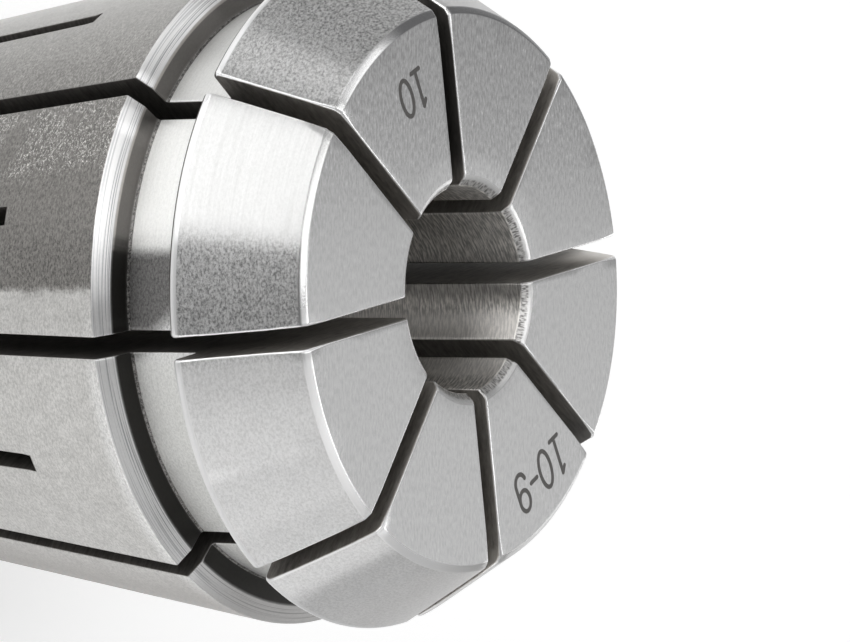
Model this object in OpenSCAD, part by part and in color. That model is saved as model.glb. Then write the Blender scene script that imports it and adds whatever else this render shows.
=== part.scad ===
// Spring collet for round shanks, one piece of hardened steel slit from both ends.
// It stands on its small rear face at z = 0, with the nose up along +Z and one nose slot centred on +X.

/* [Long taper] */
// Length from the rear face to the nose face
body_l = 40; // [38:0.5:44]
// Diameter at the wide end of the long taper
seat_d = 33; // [32.4:0.1:34]
// Half angle of the long taper
seat_angle = 8; // [7.5:0.1:8.5]
// Chamfer at the outer edge of the rear face
rear_edge = 0.6; // [0.3:0.1:1.2]

/* [Head] */
// Largest diameter of the head, over its rounded rim
head_d = 33; // [32.4:0.1:33.6]
// Length of the head, from the nose face to the groove
head_l = 5.6; // [5.2:0.1:6.2]
// Half angle of the nose cone that the nut bears on
nose_angle = 30; // [27:0.5:33]
// Radius of the rounded rim
rim_r = 0.3; // [0.2:0.05:0.5]
// Chamfer at the outer edge of the nose face
nose_edge = 0.2; // [0.15:0.05:0.5]

/* [Nut groove] */
// Depth of the groove floor below the wide end of the long taper
groove_depth = 1.95; // [1.5:0.05:2.6]
// Width of the groove floor
neck_w = 3.85; // [3.4:0.05:4.4]
// Fillet at both ends of the groove floor
neck_fillet = 0.2; // [0.1:0.05:0.3]
// Radial height of the bevel between the groove's rear wall and the long taper
bevel_h = 0.9; // [0.7:0.05:1.2]
// How far the rear wall of the groove leans back
shoulder_lean = 0.15; // [0.05:0.05:0.3]
// Axial length of that bevel
bevel_l = 0.45; // [0.3:0.05:0.8]

/* [Bore] */
// Diameter of the gripping bore
bore_d = 10; // [8:0.1:12]
// Length of the gripping bore from the nose face
grip_l = 28; // [24:0.5:30]
// Step in radius from the gripping bore out to the relief behind it
relief_step = 1; // [0.6:0.1:1.6]
// Chamfer at the nose end of the bore
bore_edge = 0.4; // [0.2:0.05:0.6]
// Chamfer at the rear end of the bore
rear_bore_edge = 0.6; // [0.3:0.1:1]

/* [Slots] */
// Number of slots cut from each end
slot_count = 8; // [4:1:8]
// Width of the slots cut from the nose
nose_slot_w = 1; // [0.7:0.05:1.2]
// Width of the slots cut from the rear
rear_slot_w = 0.9; // [0.7:0.05:1.2]
// Solid length left behind the nose slots
rear_web = 5.5; // [4:0.5:8]
// Solid length left between the rear slots and the wide end of the taper
front_web = 6.2; // [5:0.1:8]
// Break on the edges of the slots
slot_edge = 0.12; // [0.05:0.01:0.2]

/* [Hidden] */
$fn = 120;
steel = [0.70, 0.71, 0.72];
seat_r = seat_d / 2;
head_r = head_d / 2;
neck_r = seat_r - groove_depth;
shoulder_r = seat_r - bevel_h;
bore_r = bore_d / 2;
relief_r = bore_r + relief_step;
// Heights of the steps, from the rear face up
groove_top = body_l - head_l;
groove_low = groove_top - neck_w;
bevel_top = groove_low - shoulder_lean;
seat_top = bevel_top - bevel_l;
grip_low = body_l - grip_l;
rear_slot_top = seat_top - front_web;
rear_r = seat_r - seat_top * tan(seat_angle);
// The nose cone leaves the rim where it is tangent to the rounding
rim_out = head_r - rim_r;
cone_low_r = rim_out + rim_r * cos(nose_angle);
cone_low = groove_top + rim_r + rim_r * sin(nose_angle);
nose_r = cone_low_r - (body_l - cone_low) * tan(nose_angle);
nose_edge_r = nose_r + nose_edge * tan(nose_angle);
// The rear groove wall leans, so its fillet touches floor and wall at this distance from their corner
lean_angle = atan2(shoulder_lean, shoulder_r - neck_r);
fillet_run = neck_fillet * tan((90 - lean_angle) / 2);
past = 1;

module profile() {
    difference() {
        union() {
            polygon([
                [relief_r + rear_bore_edge, 0],
                [rear_r - rear_edge, 0],
                [rear_r + rear_edge * tan(seat_angle), rear_edge],
                [seat_r, seat_top],
                [shoulder_r, bevel_top],
                [neck_r + fillet_run * cos(lean_angle), groove_low - fillet_run * sin(lean_angle)],
                [neck_r, groove_low + fillet_run],
                [neck_r, groove_top - neck_fillet],
                [neck_r + neck_fillet, groove_top],
                [rim_out, groove_top],
                [cone_low_r, cone_low],
                [nose_edge_r, body_l - nose_edge],
                [nose_r - nose_edge, body_l],
                [bore_r + bore_edge, body_l],
                [bore_r, body_l - bore_edge],
                [bore_r, grip_low],
                [relief_r, grip_low - relief_step],
                [relief_r, rear_bore_edge]
            ]);
            translate([rim_out, groove_top + rim_r]) circle(r = rim_r);
        }
        translate([neck_r + neck_fillet, groove_low + fillet_run]) circle(r = neck_fillet);
        translate([neck_r + neck_fillet, groove_top - neck_fillet]) circle(r = neck_fillet);
    }
}

module radial_cut(width, low, high) {
    translate([0, -width / 2, low]) cube([seat_r + past, width, high - low]);
}

// A 45 degree groove along +X whose sides break the edges of a slot on a surface through the X axis
module edge_groove(width, start, length) {
    deep = width / 2 + slot_edge;
    translate([start, 0, 0])
        rotate([90, 0, 90])
            linear_extrude(length)
                polygon([[0, -deep], [deep + past, past], [-deep - past, past]]);
}

module nose_slot() {
    radial_cut(nose_slot_w, rear_web, body_l + past);
    // Break along the nose face
    translate([0, 0, body_l]) edge_groove(nose_slot_w, bore_r / 2, seat_r);
    // Break along the nose cone
    translate([nose_r, 0, body_l])
        rotate([0, 90 - nose_angle, 0])
            edge_groove(nose_slot_w, -past, (head_l + past) / cos(nose_angle));
    // Break along the long taper
    translate([seat_r, 0, seat_top])
        rotate([0, 90 + seat_angle, 0])
            edge_groove(nose_slot_w, -past, past + (seat_top - rear_web) / cos(seat_angle));
}

module rear_slot() {
    radial_cut(rear_slot_w, -past, rear_slot_top);
    // Break along the long taper
    translate([rear_r, 0, 0])
        rotate([0, seat_angle - 90, 0])
            mirror([0, 0, 1])
                edge_groove(rear_slot_w, -past, past + rear_slot_top / cos(seat_angle));
    // Break along the rear face
    mirror([0, 0, 1]) edge_groove(rear_slot_w, bore_r / 2, seat_r);
}

module collet() {
    color(steel)
        difference() {
            rotate_extrude() profile();
            for (i = [0 : slot_count - 1]) {
                rotate([0, 0, i * 360 / slot_count]) nose_slot();
                rotate([0, 0, (i + 0.5) * 360 / slot_count]) rear_slot();
            }
        }
}

collet();
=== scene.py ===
import math

import bpy
from mathutils import Matrix, Vector


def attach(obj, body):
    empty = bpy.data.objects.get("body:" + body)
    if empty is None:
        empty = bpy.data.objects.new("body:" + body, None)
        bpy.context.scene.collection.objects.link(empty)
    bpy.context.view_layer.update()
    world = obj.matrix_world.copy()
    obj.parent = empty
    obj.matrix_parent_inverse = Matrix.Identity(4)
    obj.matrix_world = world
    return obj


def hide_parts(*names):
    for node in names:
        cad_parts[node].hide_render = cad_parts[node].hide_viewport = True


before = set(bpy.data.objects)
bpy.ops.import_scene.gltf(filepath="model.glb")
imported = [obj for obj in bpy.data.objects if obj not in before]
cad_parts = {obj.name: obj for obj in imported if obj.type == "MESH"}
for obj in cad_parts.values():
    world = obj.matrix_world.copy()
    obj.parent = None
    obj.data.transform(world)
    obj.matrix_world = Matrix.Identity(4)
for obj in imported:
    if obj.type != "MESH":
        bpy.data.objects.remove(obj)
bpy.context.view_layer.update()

MM = 0.001
# Lengths that differ by less than this are the same
SAME = 1e-6

# Sizes of the collet in millimetres, as in the part's source
# The nose face is 0.01 mm lower than there, so that the marks on it stay inside the solid's box
BODY_L = 39.99
SEAT_R = 16.5
SEAT_ANGLE = math.radians(8)
NOSE_ANGLE = math.radians(30)
REAR_EDGE = 0.6
RIM_R = 0.3
NOSE_EDGE = 0.2
GROOVE_TOP = 34.4
GROOVE_LOW = 30.55
BEVEL_TOP = 30.4
SEAT_TOP = 29.95
NECK_R = 14.55
SHOULDER_R = 15.6
BORE_R = 5.0
BORE_EDGE = 0.4
GRIP_LOW = 12.0
RELIEF_R = 6.0
REAR_BORE_EDGE = 0.6
SLOTS = 8
NOSE_SLOT_HALF = 0.5
REAR_SLOT_HALF = 0.45
NOSE_SLOT_LOW = 5.5
REAR_SLOT_TOP = 23.75

# Sizes that follow from those
PITCH = math.tau / SLOTS
HALF_PITCH = PITCH / 2
SEAT_SLOPE = math.tan(SEAT_ANGLE)
NOSE_SLOPE = math.tan(NOSE_ANGLE)
REAR_R = SEAT_R - SEAT_TOP * SEAT_SLOPE
CONE_LOW_R = SEAT_R - RIM_R + RIM_R * math.cos(NOSE_ANGLE)
CONE_LOW = GROOVE_TOP + RIM_R * (1 + math.sin(NOSE_ANGLE))
NOSE_R = CONE_LOW_R - (BODY_L - CONE_LOW) * NOSE_SLOPE
RIM_CORNER_R = CONE_LOW_R + (CONE_LOW - GROOVE_TOP) * NOSE_SLOPE

# A height about half way up the groove, and a radius inside all of the outer faces
GROOVE_MIDDLE = 32.5
OUTSIDE_R = 9.0

# Corners of the section as radius, height and rounding
OUTLINE = [
    (RELIEF_R + REAR_BORE_EDGE, 0.0, 0.12),
    (REAR_R - REAR_EDGE, 0.0, 0.2),
    (REAR_R + REAR_EDGE * SEAT_SLOPE, REAR_EDGE, 0.2),
    (SEAT_R, SEAT_TOP, 0.1),
    (SHOULDER_R, BEVEL_TOP, 0.1),
    (NECK_R, GROOVE_LOW, 0.2),
    (NECK_R, GROOVE_TOP, 0.2),
    (RIM_CORNER_R, GROOVE_TOP, RIM_R),
    (NOSE_R + NOSE_EDGE * NOSE_SLOPE, BODY_L - NOSE_EDGE, 0.3),
    (NOSE_R - NOSE_EDGE, BODY_L, 0.3),
    (BORE_R + BORE_EDGE, BODY_L, 0.42),
    (BORE_R, BODY_L - BORE_EDGE, 0.06),
    (BORE_R, GRIP_LOW, 0.1),
    (RELIEF_R, GRIP_LOW - (RELIEF_R - BORE_R), 0.1),
    (RELIEF_R, REAR_BORE_EDGE, 0.12),
]

# Rolled edges of the slots: the radius along an edge, how far before a slot's end it fades,
# and corners of the section where it is larger, as radius, height, added radius and reach
EDGE = 0.09
EDGE_FADE = 0.5
WORN_CORNERS = [
    (NOSE_R, BODY_L, 0.13, 0.5),
    (BORE_R, BODY_L, 0.03, 0.5),
    (SEAT_R, GROOVE_TOP + 0.2, 0.12, 0.4),
]

# Fineness of the mesh: points along a rolled edge and across a jaw, the longest straight run,
# the largest turn between points of a rounding, and rows close to the end of a slot
ROLL_STEPS = 4
MIDDLE_STEPS = 8
LONGEST_RUN = 1.5
ARC_STEP = math.radians(16)
ROWS_INTO_SLOT = (0.0, 0.06, 0.25, 0.5)

# Edges that turn more than this are sharp, and points nearer than this are welded
SHARP_ANGLE = math.radians(38)
WELD = 0.002 * MM


# Camera, at the photograph's angle, with the nose to the right
camera_data = bpy.data.cameras.new("camera")
camera_data.sensor_width = 36.0
camera_data.lens = 184.61
camera_data.clip_start = 0.01
camera_data.clip_end = 20.0
camera = bpy.data.objects.new("camera", camera_data)
camera.location = (0.1414, 0.10087, 0.15761)
camera.rotation_euler = (-0.00551, -0.96526, -2.52399)
bpy.context.scene.collection.objects.link(camera)
bpy.context.scene.camera = camera


# Section of the collet
def add_between(points, stop):
    """Adds the points of the straight run from the last point to a stop."""
    last, normal = points[-1]
    gap = stop - last
    pieces = math.ceil(gap.length / LONGEST_RUN)
    for k in range(1, pieces):
        points.append((last + gap * (k / pieces), normal))


def rounded_outline(corners):
    """Goes round a closed outline of (r, z, rounding) and gives points with outward normals."""
    count = len(corners)
    points = []
    for i, (r, z, rounding) in enumerate(corners):
        here = Vector((r, z))
        before = Vector(corners[i - 1][:2])
        after = Vector(corners[(i + 1) % count][:2])
        way_in = (here - before).normalized()
        way_out = (after - here).normalized()
        turn = math.atan2(way_in.cross(way_out), way_in.dot(way_out))
        run = rounding * math.tan(abs(turn) / 2)
        side = math.copysign(rounding, turn)
        start = here - way_in * run
        centre = start + Vector((-way_in.y, way_in.x)) * side
        steps = max(2, math.ceil(abs(turn) / ARC_STEP))
        if points:
            add_between(points, start)
        for k in range(steps + 1):
            way = Matrix.Rotation(turn * k / steps, 2) @ way_in
            left = Vector((-way.y, way.x))
            points.append((centre - left * side, Vector((way.y, -way.x))))
    add_between(points, points[0][0])
    return points


def cut_at(points, height):
    """Adds a point wherever the outline crosses a height along the axis."""
    out = []
    for i, (here, normal) in enumerate(points):
        out.append((here, normal))
        after = points[(i + 1) % len(points)][0]
        low, high = sorted((here.y, after.y))
        if low + SAME < height < high - SAME:
            share = (height - here.y) / (after.y - here.y)
            out.append((here.lerp(after, share), normal))
    return out


OUTLINE_POINTS = rounded_outline(OUTLINE)
for into_slot in ROWS_INTO_SLOT:
    OUTLINE_POINTS = cut_at(OUTLINE_POINTS, NOSE_SLOT_LOW + into_slot)
    OUTLINE_POINTS = cut_at(OUTLINE_POINTS, REAR_SLOT_TOP - into_slot)


def edge_roll(place, from_slot_end):
    """How far a slot's edge is rounded: most at the worn corners, nothing at the slot's end."""
    roll = EDGE
    for r, z, more, reach in WORN_CORNERS:
        away = (place.x - r) ** 2 + (place.y - z) ** 2
        roll += more * math.exp(-away / reach**2)
    share = min(1.0, max(0.0, from_slot_end / EDGE_FADE))
    return roll * share * share * (3 - 2 * share)


def half_sector():
    """A sixteenth of the collet, from the middle of a nose slot to the middle of a rear slot."""
    points = []
    faces = []
    nose_wall = []
    rear_wall = []
    rows = {}

    def put(radius, height, angle):
        points.append((radius * math.cos(angle), radius * math.sin(angle), height))
        return len(points) - 1

    def across(radius, distance):
        return math.asin(distance / radius)

    def slot_side(place, normal, half, roll, is_open, sign, start):
        """Points from the middle of a slot to the end of its rolled edge."""
        out = []
        for k in range(ROLL_STEPS + 1):
            swing = math.radians(90) * (1 - k / ROLL_STEPS)
            if is_open:
                distance = half + roll * (1 - math.sin(swing))
                sunk = place - normal * roll * (1 - math.cos(swing))
            else:
                distance = half * k / ROLL_STEPS
                sunk = place
            out.append(put(sunk.x, sunk.y, start + sign * across(sunk.x, distance)))
        return out

    def row(place, normal, nose_open, rear_open):
        """Points across the sector at one place of the outline."""
        nose_roll = edge_roll(place, place.y - NOSE_SLOT_LOW) if nose_open else 0.0
        rear_roll = edge_roll(place, REAR_SLOT_TOP - place.y) if rear_open else 0.0
        line = slot_side(place, normal, NOSE_SLOT_HALF, nose_roll, nose_open, 1, 0.0)
        start = across(place.x, NOSE_SLOT_HALF + nose_roll)
        stop = HALF_PITCH - across(place.x, REAR_SLOT_HALF + rear_roll)
        for k in range(1, MIDDLE_STEPS):
            line.append(put(place.x, place.y, start + (stop - start) * k / MIDDLE_STEPS))
        far = slot_side(place, normal, REAR_SLOT_HALF, rear_roll, rear_open, -1, HALF_PITCH)
        return line + far[::-1]

    def row_for(i, nose_open, rear_open):
        """The row at a point of the outline, made only once."""
        key = (i, nose_open, rear_open)
        if key not in rows:
            place, normal = OUTLINE_POINTS[i]
            rows[key] = row(place, normal, nose_open, rear_open)
        return rows[key]

    def wall(chain, start_height, climbing):
        """The flat side of a slot, from the chain of points along its rolled edge."""
        def reach(n):
            return math.hypot(*points[chain[n]][:2])

        starts = []
        for n in range(0, len(chain), 2):
            if abs(points[chain[n]][2] - start_height) < SAME:
                starts.append(n)
        first = max(starts, key=reach) if climbing else min(starts, key=reach)
        turned = chain[first:] + chain[:first]
        out = [turned[0]]
        for point in turned[1:]:
            if (Vector(points[point]) - Vector(points[out[-1]])).length > SAME:
                out.append(point)
        return out

    def slot_end(height, half, start, sign, upward):
        """The flat end of a slot, between the outside and the bore."""
        radii = [place.x for place, _ in OUTLINE_POINTS if abs(place.y - height) < SAME]
        inner = min(radii)
        outer = max(radii)
        for k in range(ROLL_STEPS):
            near = half * k / ROLL_STEPS
            far = half * (k + 1) / ROLL_STEPS
            corner = [
                put(inner, height, start + sign * across(inner, near)),
                put(outer, height, start + sign * across(outer, near)),
                put(outer, height, start + sign * across(outer, far)),
                put(inner, height, start + sign * across(inner, far)),
            ]
            faces.append(tuple(corner if (sign > 0) == upward else reversed(corner)))

    count = len(OUTLINE_POINTS)
    for i in range(count):
        j = (i + 1) % count
        middle = (OUTLINE_POINTS[i][0].y + OUTLINE_POINTS[j][0].y) / 2
        nose_open = middle > NOSE_SLOT_LOW - SAME
        rear_open = middle < REAR_SLOT_TOP + SAME
        first = row_for(i, nose_open, rear_open)
        second = row_for(j, nose_open, rear_open)
        for k in range(len(first) - 1):
            faces.append((first[k], first[k + 1], second[k + 1], second[k]))
        if nose_open:
            nose_wall += [first[0], second[0]]
        if rear_open:
            rear_wall += [first[-1], second[-1]]

    faces.append(tuple(wall(nose_wall, NOSE_SLOT_LOW, True)))
    faces.append(tuple(reversed(wall(rear_wall, REAR_SLOT_TOP, False))))
    slot_end(NOSE_SLOT_LOW, NOSE_SLOT_HALF, 0.0, 1, True)
    slot_end(REAR_SLOT_TOP, REAR_SLOT_HALF, HALF_PITCH, -1, False)
    mesh = bpy.data.meshes.new("half_sector")
    mesh.from_pydata([Vector(p) * MM for p in points], [], faces)
    return mesh


def ring_of_jaws_tree(material):
    """Geometry Nodes: mirrors the half sector, sets copies round the axis and welds them."""
    tree = bpy.data.node_groups.new("ring_of_jaws", "GeometryNodeTree")
    ends = tree.interface
    ends.new_socket("Geometry", in_out="INPUT", socket_type="NodeSocketGeometry")
    ends.new_socket("Slots", in_out="INPUT", socket_type="NodeSocketInt")
    ends.new_socket("Weld distance", in_out="INPUT", socket_type="NodeSocketFloat")
    ends.new_socket("Geometry", in_out="OUTPUT", socket_type="NodeSocketGeometry")

    def add(kind, settings=None, **values):
        node = tree.nodes.new(kind)
        for key, value in (settings or {}).items():
            setattr(node, key, value)
        for key, value in values.items():
            socket = node.inputs[key.replace("_", " ")]
            if isinstance(value, bpy.types.NodeSocket):
                tree.links.new(value, socket)
            else:
                socket.default_value = value
        return node

    given = add("NodeGroupInput").outputs
    sector = given["Geometry"]
    mirrored = add("GeometryNodeTransform", Geometry=sector, Scale=(1, -1, 1)).outputs[0]
    mirrored = add("GeometryNodeFlipFaces", Mesh=mirrored).outputs[0]
    both = add("GeometryNodeJoinGeometry")
    tree.links.new(mirrored, both.inputs[0])
    tree.links.new(sector, both.inputs[0])
    spots = add("GeometryNodePoints", Count=given["Slots"]).outputs[0]
    pitch = add("ShaderNodeMath", {"operation": "DIVIDE"})
    pitch.inputs[0].default_value = math.tau
    tree.links.new(given["Slots"], pitch.inputs[1])
    angle = add("ShaderNodeMath", {"operation": "MULTIPLY"})
    tree.links.new(pitch.outputs[0], angle.inputs[0])
    tree.links.new(add("GeometryNodeInputIndex").outputs[0], angle.inputs[1])
    spin = add("ShaderNodeCombineXYZ", Z=angle.outputs[0]).outputs[0]
    jaws = add("GeometryNodeInstanceOnPoints", Points=spots, Instance=both.outputs[0]).outputs[0]
    jaws = add("GeometryNodeRotateInstances", Instances=jaws, Rotation=spin).outputs[0]
    solid = add("GeometryNodeRealizeInstances", Geometry=jaws).outputs[0]
    weld = given["Weld distance"]
    solid = add("GeometryNodeMergeByDistance", Geometry=solid, Distance=weld).outputs[0]
    solid = add("GeometryNodeSetMaterial", Geometry=solid, Material=material).outputs[0]
    add("NodeGroupOutput", Geometry=solid)
    return tree


def set_inputs(modifier, values):
    """Sets a tree's named inputs by their identifiers."""
    for item in modifier.node_group.interface.items_tree:
        if item.item_type == "SOCKET" and item.in_out == "INPUT" and item.name in values:
            modifier[item.identifier] = values[item.name]


def plain_mesh(piece, name):
    """Turns a piece with modifiers into a plain mesh."""
    shown = piece.evaluated_get(bpy.context.evaluated_depsgraph_get())
    mesh = bpy.data.meshes.new_from_object(shown)
    mesh.name = name
    piece.modifiers.clear()
    piece.data = mesh


# Materials
WHITE = (1, 1, 1, 1)
# The way across the brushing of the nose face, 35 degrees from +X
BRUSHING = (0.8192, 0.5736)


def grey(value):
    return value, value, value, 1


class Wire:
    """One output of a material node, which takes part in Python sums."""

    def __init__(self, finish, socket):
        self.finish = finish
        self.socket = socket

    def maths(self, operation, *others, swap=False):
        values = [self, *others]
        if swap:
            values.reverse()
        return self.finish.add("ShaderNodeMath", {"operation": operation}, dict(enumerate(values)))

    def __add__(self, other):
        return self.maths("ADD", other)

    def __radd__(self, other):
        return self.maths("ADD", other)

    def __sub__(self, other):
        return self.maths("SUBTRACT", other)

    def __rsub__(self, other):
        return self.maths("SUBTRACT", other, swap=True)

    def __mul__(self, other):
        return self.maths("MULTIPLY", other)

    def __rmul__(self, other):
        return self.maths("MULTIPLY", other)

    def __pow__(self, other):
        return self.maths("POWER", other)

    def __rpow__(self, other):
        return self.maths("POWER", other, swap=True)

    def __abs__(self):
        return self.maths("ABSOLUTE")

    def larger(self, other):
        return self.maths("MAXIMUM", other)


class Finish:
    """A material and its nodes."""

    def __init__(self, name):
        self.material = bpy.data.materials.new(name)
        self.material.use_nodes = True
        self.tree = self.material.node_tree
        self.tree.nodes.clear()

    def add(self, kind, settings=None, sockets=None, output=0):
        node = self.tree.nodes.new(kind)
        for key, value in (settings or {}).items():
            setattr(node, key, value)
        for key, value in (sockets or {}).items():
            if isinstance(value, Wire):
                self.tree.links.new(value.socket, node.inputs[key])
            else:
                node.inputs[key].default_value = value
        return Wire(self, node.outputs[output]) if node.outputs else None

    def step(self, value, low, high):
        """Rises smoothly from 0 at low to 1 at high."""
        settings = {"interpolation_type": "SMOOTHSTEP"}
        sockets = {0: value, 1: low, 2: high, 3: 0.0, 4: 1.0}
        return self.add("ShaderNodeMapRange", settings, sockets)

    def fade(self, value, low, high):
        """Falls smoothly from 1 at low to 0 at high."""
        return 1 - self.step(value, low, high)

    def band(self, value, low, high, soft):
        """1 between low and high, 0 outside, with soft edges."""
        return self.step(value, low - soft, low + soft) * self.fade(value, high - soft, high + soft)

    def mix(self, share, first, second):
        sockets = {0: share, 6: first, 7: second}
        return self.add("ShaderNodeMix", {"data_type": "RGBA"}, sockets, output=2)

    def noise(self, where, scale, detail, roughness):
        sockets = {"Vector": where, "Scale": scale, "Detail": detail, "Roughness": roughness}
        return self.add("ShaderNodeTexNoise", None, sockets)

    def grain(self, x, y, z, detail, roughness):
        """Noise over three values that are already scaled."""
        where = self.add("ShaderNodeCombineXYZ", None, {0: x, 1: y, 2: z})
        return self.noise(where, 1.0, detail, roughness)

    def place_in_mm(self):
        """The piece's own coordinates in millimetres."""
        place = self.add("ShaderNodeTexCoord", output="Object")
        sockets = {0: place, 1: (1 / MM, 1 / MM, 1 / MM)}
        return self.add("ShaderNodeVectorMath", {"operation": "MULTIPLY"}, sockets)

    def parts(self, vector):
        """The three parts of a vector."""
        return [self.add("ShaderNodeSeparateXYZ", None, {0: vector}, output=k) for k in range(3)]

    def relief(self, height):
        """The normal over a relief, where a height of 1 is 0.01 mm."""
        sockets = {"Strength": 1.0, "Distance": 0.01 * MM, "Height": height}
        return self.add("ShaderNodeBump", None, sockets)

    def shader(self, **sockets):
        named = {key.replace("_", " "): value for key, value in sockets.items()}
        return self.add("ShaderNodeBsdfPrincipled", None, named)

    def close(self, surface):
        self.add("ShaderNodeOutputMaterial", None, {"Surface": surface})
        return self.material


class ColletSteel(Finish):
    """Hardened steel: ground outside, turned in the groove, honed in the bore, sawn in the slots,
    with light and shade painted into its colour on some faces.

    Lengths are in millimetres, and angles in degrees round the axis from +X.
    """

    def __init__(self):
        super().__init__("ground_steel")
        self.place = self.place_in_mm()
        self.x, self.y, self.z = self.parts(self.place)
        self.radius = (self.x * self.x + self.y * self.y) ** 0.5
        self.turn = self.y.maths("ARCTAN2", self.x)
        self.azimuth = self.turn * (180 / math.pi)
        self.find_slots()
        self.find_faces()
        self.draw_grain()
        self.find_sides()
        self.find_wear()

    def ring(self, low, high, inner, outer, soft=0.02):
        """1 between two heights and two radii, 0 outside."""
        return self.band(self.z, low, high, soft) * self.band(self.radius, inner, outer, soft)

    def find_slots(self):
        """The distance from the middle of the nearest nose slot, and a mask for all slot walls."""
        share = self.turn * (1 / PITCH)
        nose_turn = (share - share.maths("ROUND")) * PITCH
        rear_turn = (share - share.maths("FLOOR") - 0.5) * PITCH
        self.from_nose_slot = abs(self.radius * nose_turn.maths("SINE"))
        from_rear_slot = abs(self.radius * rear_turn.maths("SINE"))
        nose_wall = self.fade(self.from_nose_slot, NOSE_SLOT_HALF + 0.004, NOSE_SLOT_HALF + 0.03)
        nose_wall = nose_wall * self.step(self.z, NOSE_SLOT_LOW - 0.06, NOSE_SLOT_LOW - 0.02)
        rear_wall = self.fade(from_rear_slot, REAR_SLOT_HALF + 0.004, REAR_SLOT_HALF + 0.03)
        rear_wall = rear_wall * self.fade(self.z, REAR_SLOT_TOP + 0.02, REAR_SLOT_TOP + 0.06)
        self.wall = nose_wall.larger(rear_wall)

    def find_faces(self):
        """Masks for the turned and ground faces, 1 on the face and 0 off it."""
        z = self.z
        radius = self.radius
        outside = self.step(radius, OUTSIDE_R, OUTSIDE_R + 0.5)
        past_shoulder = self.step(radius, SHOULDER_R - 0.1, SHOULDER_R)
        self.face = self.step(z, BODY_L - 0.01, BODY_L - 0.003)
        self.bore = self.fade(radius, BORE_R + 0.03, BORE_R + 0.07)
        mouth = self.step(z, BODY_L - 0.38, BODY_L - 0.33)
        mouth = mouth * self.fade(radius, BORE_R + 0.24, BORE_R + 0.34)
        self.mouth = mouth * self.step(radius, BORE_R + 0.02, BORE_R + 0.06)
        self.cone = self.step(z, CONE_LOW, CONE_LOW + 0.1) * (1 - self.face) * outside
        nose_band = self.step(z, BODY_L - 0.27, BODY_L - 0.22)
        self.nose_band = nose_band * (1 - self.face) * outside
        self.rim = self.band(z, GROOVE_TOP - 0.02, CONE_LOW + 0.04, 0.02) * past_shoulder
        self.rim_line = self.rim * self.fade(z, GROOVE_TOP + 0.18, GROOVE_TOP + 0.24)
        groove = self.band(z, GROOVE_LOW, GROOVE_TOP, 0.01)
        self.groove = groove * self.band(radius, OUTSIDE_R, NECK_R + 0.15, 0.1)
        corner_low = GROOVE_LOW + 0.03
        self.rear_corner = self.ring(corner_low, GROOVE_LOW + 0.17, OUTSIDE_R, NECK_R + 0.2)
        self.rear_lip = self.ring(BEVEL_TOP, GROOVE_LOW + 0.04, NECK_R + 0.05, SHOULDER_R + 0.02)
        self.bevel = self.band(z, SEAT_TOP, BEVEL_TOP, 0.02) * past_shoulder
        self.taper = self.fade(z, SEAT_TOP - 0.03, SEAT_TOP) * outside
        self.slot_edge = self.cone * self.fade(self.from_nose_slot, 0.58, 0.64)

    def draw_grain(self):
        """The lines that grinding, turning, honing and sawing leave, and the grain between them."""
        turn = self.turn
        z = self.z
        radius = self.radius
        across = self.x * BRUSHING[0] + self.y * BRUSHING[1]
        self.along = self.x * BRUSHING[1] - self.y * BRUSHING[0]
        self.cloud = self.noise(self.place, 0.5, 3.0, 0.6)
        self.threads = self.noise(self.place, 5.6, 2.0, 0.5)
        self.lines = self.grain(turn * 3.0, z * 7.5, radius * 7.5, 2.0, 0.6)
        self.fine_lines = self.grain(turn * 2.0, z * 9.0, radius * 18.0, 1.0, 0.5)
        self.speck = self.grain(turn * 88.0, z * 9.0, radius * 9.0, 3.0, 0.8)
        self.mottle = self.grain(turn * 18.0, z * 0.8, 0.0, 3.0, 0.7)
        self.streaks = self.grain(turn * 9.0, (z + turn * 0.9) * 9.5, 0.0, 3.0, 0.6)
        self.teeth = self.grain(turn * 64.0, radius * 5.0, 0.0, 1.0, 0.5)
        self.brushing = self.grain(across * 7.5, self.along * 2.6, z, 3.0, 0.65)
        self.saw_marks = self.grain(radius * 1.2, z * 5.0, self.from_nose_slot, 3.0, 0.7)

    def find_sides(self):
        """Masks by the side of the collet, mostly used to paint light and shade by side."""
        self.near_half = self.fade(self.azimuth, 125, 170)
        self.lower_side = self.step(self.azimuth, 30, 60) * self.near_half
        self.upper_side = self.step(self.along, 1.0, 9.0)

    def find_wear(self):
        """Scuffed jaws, a dark patch on the long taper that is partly old oil with lint in it and
        partly painted shade, and painted shade in the groove.
        """
        azimuth = self.azimuth
        scuffed = self.band(azimuth, 27, 47, 3) + self.band(azimuth, -48, 0, 3)
        scuffed = scuffed + self.band(azimuth, -42, -18, 6) * 0.4
        self.scuffed = scuffed * self.cone
        # A dark patch on one side of the taper, partly old oil and partly painted shade.
        oil_and_shade = self.taper * self.step(azimuth, -46, 14)
        self.oil_and_shade = oil_and_shade * self.fade(azimuth + self.mottle * 4, 36.6, 38.6)
        lint = self.band(azimuth + self.mottle * 5, -16, 18, 2)
        lint = lint * (0.3 + self.step(azimuth, -1, 3) * 0.7) * self.taper
        lint = lint * self.step(self.cloud, 0.32, 0.5) * self.step(self.speck, 0.42, 0.58)
        dots = self.step(self.speck, 0.62, 0.68)
        hairs = self.fade(abs(self.threads - 0.5), 0.008, 0.03)
        self.lint = lint * dots.larger(hairs)
        self.slant = azimuth + (self.z - GROOVE_MIDDLE) * 3.0
        # Painted shade in a band round one side of the groove, eased off along a slanting edge.
        groove_shade = self.groove * self.band(azimuth, 28.5, 48, 1.5)
        self.groove_shade = groove_shade * (1 - self.step(self.slant, 39, 47) * 0.8)

    def taper_colour(self):
        ground = self.mix(self.mottle, (0.5, 0.495, 0.48, 1), (0.77, 0.76, 0.74, 1))
        # One side of the taper is darkened by old oil and painted shade.
        return self.mix(self.oil_and_shade * 0.95, ground, (0.262, 0.252, 0.238, 1))

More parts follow.
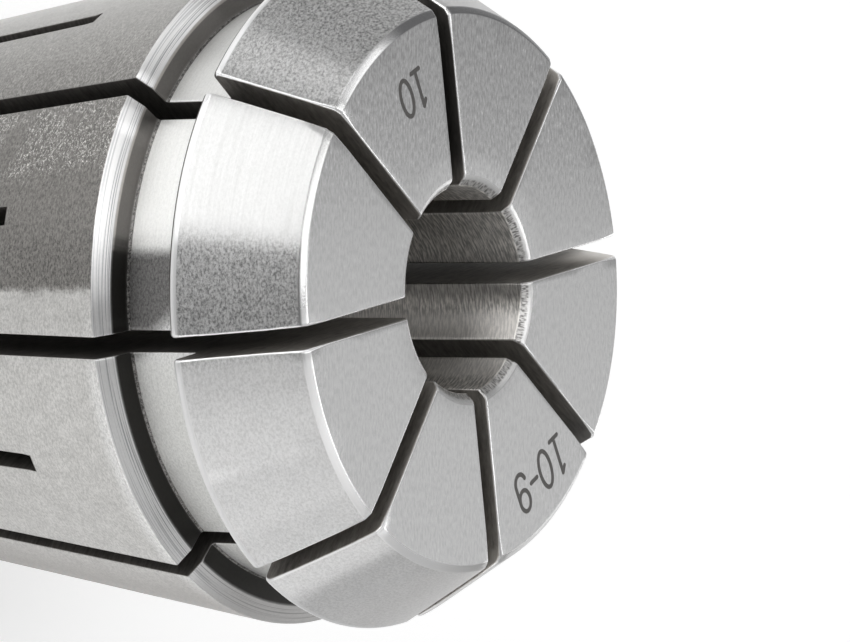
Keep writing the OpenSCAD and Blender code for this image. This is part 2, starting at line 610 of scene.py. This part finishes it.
    def groove_colour(self):
        # The turned groove is painted brighter than bare steel, a painted sheen.
        turned = self.mix(self.lines, (0.86, 0.86, 0.84, 1), (1.0, 1.0, 0.98, 1))
        # Painted shade: the groove is darker on its lower side.
        turned = self.mix(self.lower_side * 0.45, turned, (0.4, 0.4, 0.38, 1))
        # Painted shade in one band of the groove.
        turned = self.mix(self.groove_shade, turned, (0.27, 0.265, 0.26, 1))
        # Painted highlight in a slanting patch of the groove.
        glint = self.step(self.slant, 39, 46) * self.fade(self.azimuth, 45, 50)
        return self.mix(glint * 0.7, turned, WHITE)

    def bevel_colour(self):
        # Painted highlight: the bevel is mixed toward white, most on its outer half, and its lines
        # are whiter on the lower side.
        lines = self.step(self.fine_lines + self.lower_side * 0.05, 0.38, 0.56)
        turned = self.mix(lines, (0.27, 0.27, 0.29, 1), WHITE)
        inner_half = self.fade(self.radius, SHOULDER_R + 0.25, SHOULDER_R + 0.6)
        return self.mix(0.4 + inner_half * 0.25, WHITE, turned)

    def lip_colour(self):
        """The leaning rear wall of the groove, painted dark as shade, painted lighter on its upper
        side, with a painted highlight along the outer edge there.
        """
        lit_upper_side = 1 - self.step(self.azimuth + self.mottle * 6, 28, 32) * self.near_half
        lip = self.mix(lit_upper_side, (0.055, 0.053, 0.05, 1), (0.22, 0.21, 0.2, 1))
        lip_edge_highlight = self.step(self.radius, SHOULDER_R - 0.18, SHOULDER_R - 0.1)
        return self.mix(lit_upper_side * lip_edge_highlight, lip, (0.6, 0.57, 0.54, 1))

    def corner_colour(self):
        """The corner of the groove, painted dark as shade, with paler specks of swarf."""
        swarf = self.step(self.speck, 0.4, 0.6)
        return self.mix(swarf, (0.08, 0.078, 0.075, 1), (0.3, 0.29, 0.28, 1))

    def rim_colour(self):
        # Painted highlight: the rim is near white, and dimmer between about 30 and 125 degrees.
        return self.mix(self.step(self.azimuth, 20, 32) * self.near_half, grey(0.95), grey(0.76))

    def nose_colour(self):
        """The rounded corner between the nose cone and the nose face, with a painted highlight line
        along it and painted light and shade by side.
        """
        # A painted highlight line along the face's edge, then painted light and shade by side.
        line = self.step(self.z, BODY_L - 0.2, BODY_L - 0.12)
        nose = self.mix(line, grey(0.3), grey(0.95))
        nose = self.mix(self.band(self.azimuth, 21, 47, 6), grey(0.93), nose)
        nose = self.mix(self.step(self.azimuth, 112, 135), nose, grey(0.55))
        return self.mix(self.band(self.azimuth, -110, -25, 6), nose, (0.26, 0.26, 0.265, 1))

    def bore_colour(self):
        honed = self.step(self.streaks, 0.38, 0.64)
        bore = self.mix(honed, (0.37, 0.36, 0.345, 1), (0.84, 0.81, 0.77, 1))
        # Painted highlight round 160 to 180 degrees either way.
        bore = self.mix(self.step(abs(self.azimuth), 154, 162) * 0.5, bore, (1.0, 0.97, 0.93, 1))
        # Painted shade between -150 and -128 degrees.
        shaded_bore = self.band(self.azimuth, -150, -128, 5)
        return self.mix(shaded_bore * 0.5, bore, (0.15, 0.145, 0.14, 1))

    def mouth_colour(self):
        """The ring of fine tool marks round the mouth of the bore."""
        marks = self.step(self.teeth, 0.36, 0.6)
        return self.mix(marks, (0.2, 0.195, 0.19, 1), (0.62, 0.61, 0.6, 1))

    def wall_colour(self):
        """The sawn walls of the slots: dark inside, partly oxide and partly painted shade, paler
        towards the head and the bore, with painted light and shade on some of them.
        """
        wall = self.mix(self.saw_marks, (0.03, 0.028, 0.026, 1), (0.26, 0.245, 0.23, 1))
        pale = self.step(self.z, 33, 38).larger(self.fade(self.radius, 9, 14))
        wall = self.mix(pale * self.saw_marks * 0.9, wall, (0.62, 0.59, 0.55, 1))
        # Painted highlight on the walls near the head, between -141 and -129 degrees.
        wall_highlight = self.step(self.radius, 10, 13.5) * self.band(self.azimuth, -141, -129, 1)
        wall_highlight = wall_highlight * self.step(self.z, 36, 38)
        wall = self.mix(wall_highlight * 0.85, wall, (0.95, 0.93, 0.9, 1))
        # Painted shade near the top of the walls at 170 to 175 degrees either way and between -50
        # and -40 degrees.
        wall_shade = self.step(abs(self.azimuth), 170, 175) * self.step(self.radius, 10.5, 13.5)
        wall_shade = wall_shade.larger(self.band(self.azimuth, -50, -40, 1))
        wall_shade = wall_shade * self.step(self.z, 37.5, 39)
        return self.mix(wall_shade * 0.75, wall, (0.015, 0.015, 0.014, 1))

    def face_colour(self):
        """The brushed nose face, with dark pits and bright nicks in its grain."""
        pits = self.fade(self.brushing, 0.34, 0.62) * (0.13 + self.upper_side * 0.2)
        nicks = self.step(self.brushing, 0.65, 0.71) * (0.25 + self.upper_side * 0.75)
        face = self.mix(pits, grey(0.64), grey(0.1))
        return self.mix(nicks * 0.8, face, WHITE)

    def pits_on_turned_faces(self):
        pits = self.fade(self.speck, 0.3, 0.66)
        pits = pits * (1 - self.nose_band) * (1 - self.rim) * (1 - self.slot_edge)
        pits = pits * (1 - self.bevel * 0.7)
        # Pits are painted deeper on the shaded side of the jaws, in the taper's oil and painted
        # shade, and in the groove's painted shade.
        shaded_side = self.step(self.azimuth, 24, 30) * self.near_half
        depth = 0.1 + shaded_side * 0.14 + self.scuffed * 0.5 + self.taper * 0.12
        return pits * (depth + self.oil_and_shade * 0.4 + self.groove_shade * 0.4)

    def turned_colour(self, on_wall):
        """The colour of all faces that run round the axis, each finish and each patch of painted
        light or shade laid over the last.
        """
        azimuth = self.azimuth
        colour = self.mix(self.cloud, grey(0.65), (0.71, 0.705, 0.7, 1))
        colour = self.mix(self.taper, colour, self.taper_colour())
        colour = self.mix(self.groove, colour, self.groove_colour())
        colour = self.mix(self.bevel, colour, self.bevel_colour())
        colour = self.mix(self.rear_lip, colour, self.lip_colour())
        colour = self.mix(self.rear_corner, colour, self.corner_colour())
        colour = self.mix(self.rim, colour, self.rim_colour())
        # Painted shade in a dark line under the rim, left off the lower side.
        shade_under_rim = self.rim_line * (1 - self.lower_side)
        colour = self.mix(shade_under_rim, colour, (0.05, 0.045, 0.04, 1))
        # Painted highlight near the wide end of the taper on the lower side.
        wide_end_highlight = self.taper * self.step(self.z, SEAT_TOP - 1.05, SEAT_TOP - 0.15)
        colour = self.mix(wide_end_highlight * self.lower_side * 0.55, colour, (0.95, 0.95, 0.94, 1))
        colour = self.mix(self.nose_band, colour, self.nose_colour())
        # Painted shade on the under side of the taper, bevel and cone.
        shaded_under_side = self.step(azimuth, 84, 108) * self.near_half
        shaded_under_side = shaded_under_side * (self.taper * 0.6 + self.bevel * 0.4)
        shaded_under_side = shaded_under_side + self.cone * self.band(azimuth, 113, 150, 8) * 0.16
        colour = self.mix(shaded_under_side, colour, (0.21, 0.185, 0.165, 1))
        # A lit copy of the colour: the jaw that the key panel lights is painted darker, with
        # turning lines.
        bright_jaw = self.cone * self.band(azimuth, -4, 27, 3)
        lit_jaw_colour = self.mix(self.lines, (0.53, 0.53, 0.525, 1), (0.7, 0.7, 0.695, 1))
        colour = self.mix(bright_jaw * 0.9, colour, lit_jaw_colour)
        # Painted highlight along the slot edges of the cone, weaker between 70 and 92 degrees.
        slot_edge_highlight = self.slot_edge * (0.8 - self.step(azimuth, 70, 92) * 0.5)
        colour = self.mix(slot_edge_highlight, colour, WHITE)
        colour = self.mix(self.pits_on_turned_faces(), colour, grey(0.03))
        colour = self.mix(self.lint * 0.9, colour, (0.92, 0.91, 0.88, 1))
        colour = self.mix(self.bore, colour, self.bore_colour())
        colour = self.mix(self.mouth, colour, self.mouth_colour())
        return self.mix(self.wall, colour, on_wall)

    def finished(self):
        """Joins the shader of the faces round the axis to that of the nose face and the slots."""
        on_wall = self.wall_colour()
        height = self.speck * (self.cone + self.taper + 0.3) * 0.3 + self.lines * 0.3
        height = height + self.streaks * self.bore + self.teeth * self.mouth * 1.5
        roughness = 0.31 + self.groove * 0.03 - self.taper * 0.03 + self.bore * 0.1
        roughness = roughness - self.nose_band * 0.08
        roughness = roughness + (self.nose_band * 0.2 + self.rim * 0.1) * self.lower_side
        turned = self.shader(
            Base_Color=self.turned_colour(on_wall),
            Metallic=1.0,
            Roughness=roughness,
            Anisotropic=1.0,
            Anisotropic_Rotation=0.25,
            Normal=self.relief(height),
        )
        height = self.brushing * (0.2 + self.upper_side * 0.5) + self.wall * self.saw_marks
        flat = self.shader(
            Base_Color=self.mix(self.wall, self.face_colour(), on_wall),
            Metallic=1.0,
            Roughness=0.21 + self.wall * 0.4,
            Normal=self.relief(height),
        )
        sockets = {0: self.wall.larger(self.face), 1: turned, 2: flat}
        return self.close(self.add("ShaderNodeMixShader", None, sockets))


def scribed_mark():
    mark = Finish("scribed_mark")
    grain = mark.noise(mark.place_in_mm(), 12.0, 2.0, 0.6)
    colour = mark.mix(grain, (0.045, 0.043, 0.041, 1), (0.11, 0.105, 0.1, 1))
    return mark.close(mark.shader(Base_Color=colour, Metallic=0.3, Roughness=0.55))


def pale_ground():
    """A pale floor that takes a shadow, with a glow that only the camera and reflections see."""
    ground = Finish("pale_ground")
    seen = ground.add("ShaderNodeLightPath", output="Is Camera Ray")
    for ray in ("Is Glossy Ray", "Is Transmission Ray"):
        seen = seen.larger(ground.add("ShaderNodeLightPath", output=ray))
    shade = ground.add("ShaderNodeBsdfDiffuse", None, {"Color": grey(0.88)})
    glow = ground.add("ShaderNodeEmission", None, {"Color": WHITE, "Strength": seen * 0.27})
    return ground.close(ground.add("ShaderNodeAddShader", None, {0: shade, 1: glow}))


# The collet
collet = bpy.data.objects.new("collet_body", half_sector())
bpy.context.scene.collection.objects.link(collet)
ring = collet.modifiers.new("ring_of_jaws", "NODES")
ring.node_group = ring_of_jaws_tree(ColletSteel().finished())
set_inputs(ring, {"Slots": SLOTS, "Weld distance": WELD})
plain_mesh(collet, "collet_body")
collet.data.shade_smooth()
collet.data.set_sharp_from_angle(angle=SHARP_ANGLE)
even = collet.modifiers.new("even_shading", "WEIGHTED_NORMAL")
even.keep_sharp = True
even.weight = 80
plain_mesh(collet, "collet_body")
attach(collet, "root")
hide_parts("collet")


# Plain numbers marked on the nose face
STROKE = 0.23
MARK_LOW = BODY_L - 0.006
MARK_TOP = BODY_L + 0.006
MARK_STEP = 0.0015


def ellipse(middle, wide, high, start=0.0, stop=360.0, steps=28):
    """Points of an elliptical arc, with angles in degrees from the right, counterclockwise."""
    points = []
    for k in range(steps + 1):
        angle = math.radians(start + (stop - start) * k / steps)
        right = middle[0] + wide / 2 * math.cos(angle)
        up = middle[1] + high / 2 * math.sin(angle)
        points.append((right, up))
    return points


def round_cap(centre, first):
    """Points of a half circle round a centre, after its first point and before its last."""
    centre = Vector(centre)
    arm = first - centre
    return [centre + Matrix.Rotation(-math.pi * k / 8, 2) @ arm for k in range(1, 8)]


def stroke_prism(path, top_height, place_on_face, points, faces):
    """Adds a thin prism of constant width with round ends along a path, as points and faces."""
    closed = math.dist(path[0], path[-1]) < SAME
    if closed:
        path = path[:-1]
    count = len(path)
    left = []
    right = []
    for k, here in enumerate(path):
        before = path[k - 1] if closed or k else here
        after = path[(k + 1) % count] if closed or k < count - 1 else here
        way = Vector(after) - Vector(before)
        side = Vector((-way.y, way.x)).normalized() * STROKE / 2
        left.append(Vector(here) + side)
        right.append(Vector(here) - side)
    if closed:
        rings = [left, right]
    else:
        end_cap = round_cap(path[-1], left[-1])
        start_cap = round_cap(path[0], right[0])
        rings = [left + end_cap + right[::-1] + start_cap]
    low = len(points)
    for height in (MARK_LOW, top_height):
        for line in rings:
            points += [place_on_face(p, height) for p in line]
    total = sum(len(line) for line in rings)
    top = low + total
    start = 0
    for number, line in enumerate(rings):
        size = len(line)
        for k in range(size):
            a = start + k
            b = start + (k + 1) % size
            if number:
                a, b = b, a
            faces.append((low + b, low + a, top + a, top + b))
        start += size
    if closed:
        for k in range(count):
            a = k
            b = (k + 1) % count
            faces.append((top + a, top + b, top + count + b, top + count + a))
            faces.append((low + b, low + a, low + count + a, low + count + b))
    else:
        faces.append(tuple(top + k for k in reversed(range(total))))
        faces.append(tuple(low + k for k in range(total)))


def digit_one(u):
    stem = [(u, 0.9), (u, -0.9)]
    flag = [(u - 0.25, 0.66), (u, 0.9)]
    foot = [(u - 0.36, -0.9), (u + 0.36, -0.9)]
    return [stem, flag, foot]


def digit_zero(u):
    return [ellipse((u, 0.0), 0.92, 1.8)]


def digit_nine(u):
    hook = ellipse((u - 0.02, -0.42), 0.84, 0.96, -165, 0, 12)
    return [ellipse((u, 0.4), 0.8, 1.0), [(u + 0.4, 0.4), *reversed(hook)]]


def dash(u):
    return [[(u - 0.28, -0.05), (u + 0.28, -0.05)]]


def mark_on_face(name, material, middle, reading, size, strokes):
    """Marks strokes on the nose face round a middle point, read along a direction in degrees.

    Strokes that cross have slightly different heights, so that no two tops lie in one plane.
    """
    along = Vector((math.cos(math.radians(reading)), math.sin(math.radians(reading))))
    up = Vector((-along.y, along.x))

    def place_on_face(point, height):
        spot = Vector(middle) + along * point[0] + up * point[1]
        return Vector((spot.x, spot.y, height)) * MM

    points = []
    faces = []
    for number, path in enumerate(strokes):
        path = [(across * size, upward * size) for across, upward in path]
        stroke_prism(path, MARK_TOP - MARK_STEP * (number % 3), place_on_face, points, faces)
    mesh = bpy.data.meshes.new(name)
    mesh.from_pydata(points, [], faces)
    mesh.update()
    mesh.materials.append(material)
    mark = bpy.data.objects.new(name, mesh)
    bpy.context.scene.collection.objects.link(mark)
    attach(mark, "root")


mark_material = scribed_mark()
ten = digit_one(-0.55) + digit_zero(0.6)
mark_on_face("bore_size_mark", mark_material, (9.22, -4.81), 62.4, 1.0, ten)
ten_to_nine = digit_one(-1.75) + digit_zero(-0.55) + dash(0.5) + digit_nine(1.55)
mark_on_face("range_mark", mark_material, (-10.3, 3.9), 64.6, 1.09, ten_to_nine)


# Floor and light
FLOOR_HALF = 3
PANEL_DISTANCE = 0.5
HEAD_HEIGHT = 33 * MM

floor_corners = [(-1, -1, 0), (1, -1, 0), (1, 1, 0), (-1, 1, 0)]
floor_mesh = bpy.data.meshes.new("floor")
floor_mesh.from_pydata([Vector(c) * FLOOR_HALF for c in floor_corners], [], [(0, 1, 2, 3)])
floor_mesh.materials.append(pale_ground())
floor = bpy.data.objects.new("floor", floor_mesh)
bpy.context.scene.collection.objects.link(floor)

world = bpy.data.worlds.new("studio")
world.use_nodes = True
bpy.context.scene.world = world
sky = world.node_tree.nodes["Background"]
sky.inputs["Color"].default_value = WHITE
sky.inputs["Strength"].default_value = 0.43


def light_panel(name, azimuth, elevation, width, height, brightness):
    """A soft panel that faces the collet's head; a brightness of 1 is white."""
    lamp_data = bpy.data.lights.new(name, "AREA")
    lamp_data.shape = "RECTANGLE"
    lamp_data.size = width
    lamp_data.size_y = height
    lamp_data.energy = brightness * math.pi * width * height
    way = Vector((1, 0, 0))
    way.rotate(Matrix.Rotation(math.radians(-elevation), 3, "Y"))
    way.rotate(Matrix.Rotation(math.radians(azimuth), 3, "Z"))
    lamp = bpy.data.objects.new(name, lamp_data)
    lamp.location = way * PANEL_DISTANCE + Vector((0, 0, HEAD_HEIGHT))
    lamp.rotation_euler = (-way).to_track_quat("-Z", "Y").to_euler()
    lamp.visible_camera = False
    bpy.context.scene.collection.objects.link(lamp)


# Azimuth and elevation in degrees, width and height in metres, and brightness
light_panel("key_panel", -3.2, 13, 0.41, 0.12, 4.9)
light_panel("left_fill", -43, 13, 0.16, 0.14, 1.3)
light_panel("top_panel", 330, 73, 0.4, 0.2, 2.1)
light_panel("side_panel", 270, 48, 0.16, 0.16, 1.2)
light_panel("back_panel", 195, 58, 0.2, 0.14, 4.0)
light_panel("mid_back_panel", 199.5, 33, 0.28, 0.2, 0.31)
light_panel("low_back_panel", 200, 13, 0.16, 0.12, 2.5)
light_panel("near_strip", 75, 1, 0.36, 0.05, 5.0)
light_panel("far_strip", 120, 1, 0.5, 0.05, 3.6)
light_panel("side_fill", 95, 14, 0.4, 0.12, 0.6)

bpy.context.scene.view_settings.view_transform = "Standard"
